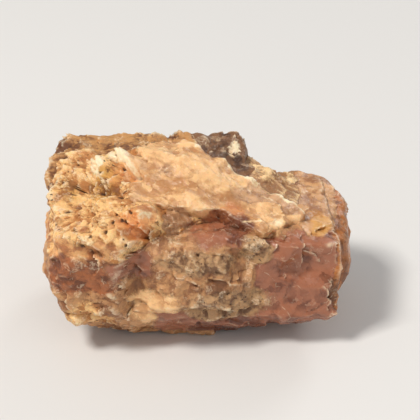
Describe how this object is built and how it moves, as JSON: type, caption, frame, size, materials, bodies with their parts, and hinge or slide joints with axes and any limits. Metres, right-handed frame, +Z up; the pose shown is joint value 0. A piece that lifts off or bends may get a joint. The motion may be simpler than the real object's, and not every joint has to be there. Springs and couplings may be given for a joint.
{
  "type": "rough moonstone",
  "caption": "Rough lump of moonstone feldspar, broken on flat cleavages with a sloping slab, ledges and a crusty end; it rests on a small flat spot under it.",
  "frame": {"origin": "on the surface that the stone rests on, below the middle of its bounding box", "axes": "+Z up, +X along the stone's length from its crusty end to its smooth banded end, -Y towards the viewer of the picture"},
  "size_m": [0.0364, 0.0226, 0.0204],
  "materials": {
    "rock": "rough broken feldspar: creamy and peach cleavages with a pearly gloss, matt ochre crust, smoky brown glassy hollows"
  },
  "bodies": {
    "root": {"moonstone": "rock"}
  },
  "joints": []
}
